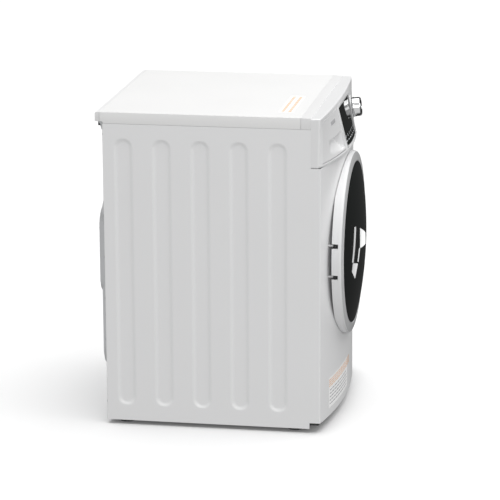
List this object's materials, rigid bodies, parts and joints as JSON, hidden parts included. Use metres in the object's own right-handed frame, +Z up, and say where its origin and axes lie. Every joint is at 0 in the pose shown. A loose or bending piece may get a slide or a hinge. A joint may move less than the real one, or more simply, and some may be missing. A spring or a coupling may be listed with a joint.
{
  "type": "front load washing machine",
  "caption": "Free-standing front-loading washing machine with a bowed front, ribbed side panels, a round glass door, a detergent drawer and a program knob.",
  "frame": {"origin": "on the floor under the middle of the machine's bounding box", "axes": "+Z up, -Y out of the front, +X to the right of somebody who faces the front"},
  "size_m": [0.598, 0.667, 0.85],
  "materials": {
    "enamel": "smooth white powder coat",
    "lid_white": "white laminated board with a plastic edge",
    "white_plastic": "satin white moulding",
    "inner_plastic": "pale grey moulding",
    "tub_plastic": "filled pale grey moulding",
    "black_plastic": "black moulding",
    "galvanised": "zinc-coated pressed steel",
    "drum_steel": "stainless steel",
    "steel": "plain machined steel",
    "alloy": "die-cast aluminium",
    "weight": "grey cast weight",
    "chrome": "bright plated knob",
    "dark_glass": "black tinted gloss",
    "clear_glass": "clear pressed glass",
    "grey_rubber": "soft grey rubber",
    "black_rubber": "black rubber"
  },
  "bodies": {
    "cabinet": {"side_panel_left": "enamel", "side_panel_right": "enamel", "rear_panel": "galvanised", "rear_service_cover": "galvanised", "base_pan": "inner_plastic", "front_panel": "enamel", "worktop": "lid_white", "top_crossbar": "galvanised", "control_panel": "white_plastic", "control_module": "inner_plastic", "display_window": "dark_glass", "drawer_housing": "inner_plastic", "door_hinge_bracket": "black_plastic", "door_hinge_pin": "steel", "door_lock": "black_plastic", "door_seal": "grey_rubber", "drain_pump": "inner_plastic", "drain_hose": "grey_rubber", "inlet_valve": "inner_plastic", "inlet_hose": "black_rubber", "power_inlet": "black_plastic", "damper_tube_left": "inner_plastic", "damper_tube_right": "inner_plastic", "tub_spring_left": "steel", "tub_spring_right": "steel", "sump_hose": "black_rubber", "fill_hose": "black_rubber"},
    "door": {"door_ring": "white_plastic", "door_inner_ring": "inner_plastic", "door_glass_cover": "dark_glass", "door_bowl": "clear_glass", "door_hinge_arm": "steel"},
    "door_latch": {"door_latch_hook": "steel"},
    "drawer": {"drawer_front": "white_plastic", "drawer_tray": "inner_plastic"},
    "knob": {"program_knob": "chrome"},
    "tub": {"tub_front": "tub_plastic", "tub_rear": "tub_plastic", "counterweight_front": "weight", "counterweight_top": "weight", "heater": "steel", "drum_bearing_front": "steel", "drum_bearing_rear": "steel", "motor": "alloy", "drive_belt": "black_rubber", "damper_rod_left": "steel", "damper_rod_right": "steel"},
    "drum": {"drum_shell": "drum_steel", "drum_lifter_a": "inner_plastic", "drum_lifter_b": "inner_plastic", "drum_lifter_c": "inner_plastic", "drum_spider": "alloy", "drum_pulley": "alloy"},
    "motor_rotor": {"motor_pulley": "steel"},
    "flap": {"filter_flap": "white_plastic"},
    "lint_filter": {"pump_filter": "inner_plastic"},
    "foot_fl": {"foot_front_left": "black_rubber"},
    "foot_fr": {"foot_front_right": "black_rubber"},
    "foot_rl": {"foot_rear_left": "black_rubber"},
    "foot_rr": {"foot_rear_right": "black_rubber"}
  },
  "joints": [
    {"name": "door_swing", "type": "hinge", "parent": "cabinet", "child": "door", "pos_m": [-0.2375, -0.2915, 0.456], "axis": [0, 0, -1], "range_deg": [0, 130]},
    {"name": "door_latch_turn", "type": "hinge", "parent": "door", "child": "door_latch", "pos_m": [0.222, -0.2945, 0.4515], "axis": [0, 0, -1], "range_deg": [0, 8], "stiffness_Nm_per_rad": 0.6, "springref_deg": -5.73},
    {"name": "drawer_slide", "type": "slide", "parent": "cabinet", "child": "drawer", "axis": [0, -1, 0], "range_m": [0, 0.22]},
    {"name": "program_knob_turn", "type": "hinge", "parent": "cabinet", "child": "knob", "pos_m": [0.165, -0.27148, 0.787], "axis": [0.0578, -0.9909, 0.1219], "continuous": true},
    {"name": "tub_bounce", "type": "slide", "parent": "cabinet", "child": "tub", "axis": [0, 0, 1], "range_m": [-0.008, 0.008], "stiffness_N_per_m": 16000, "springref_m": 0.02733, "deforming": ["tub_spring_left", "tub_spring_right", "fill_hose", "sump_hose", "door_seal"]},
    {"name": "drum_spin", "type": "hinge", "parent": "tub", "child": "drum", "pos_m": [0, 0.1695, 0.4515], "axis": [0, -1, 0], "continuous": true},
    {"name": "motor_spin", "type": "hinge", "parent": "tub", "child": "motor_rotor", "pos_m": [0.07, 0.2195, 0.112], "axis": [0, -1, 0], "continuous": true},
    {"name": "filter_flap_swing", "type": "hinge", "parent": "cabinet", "child": "flap", "pos_m": [0.22, -0.27262, 0.0468], "axis": [0.9906, 0.1365, 0], "range_deg": [0, 85]},
    {"name": "lint_filter_turn", "type": "hinge", "parent": "cabinet", "child": "lint_filter", "pos_m": [0.22, -0.2605, 0.096], "axis": [0, -1, 0], "range_deg": [0, 90]},
    {"name": "foot_fl_turn", "type": "hinge", "parent": "cabinet", "child": "foot_fl", "pos_m": [-0.258, -0.1885, 0.02], "axis": [0, 0, 1], "continuous": true},
    {"name": "foot_fr_turn", "type": "hinge", "parent": "cabinet", "child": "foot_fr", "pos_m": [0.258, -0.1885, 0.02], "axis": [0, 0, 1], "continuous": true},
    {"name": "foot_rl_turn", "type": "hinge", "parent": "cabinet", "child": "foot_rl", "pos_m": [-0.258, 0.2675, 0.02], "axis": [0, 0, 1], "continuous": true},
    {"name": "foot_rr_turn", "type": "hinge", "parent": "cabinet", "child": "foot_rr", "pos_m": [0.258, 0.2675, 0.02], "axis": [0, 0, 1], "continuous": true}
  ],
  "couplings": [
    {"joint": "motor_spin", "follows": "drum_spin", "ratio": 13.636}
  ]
}
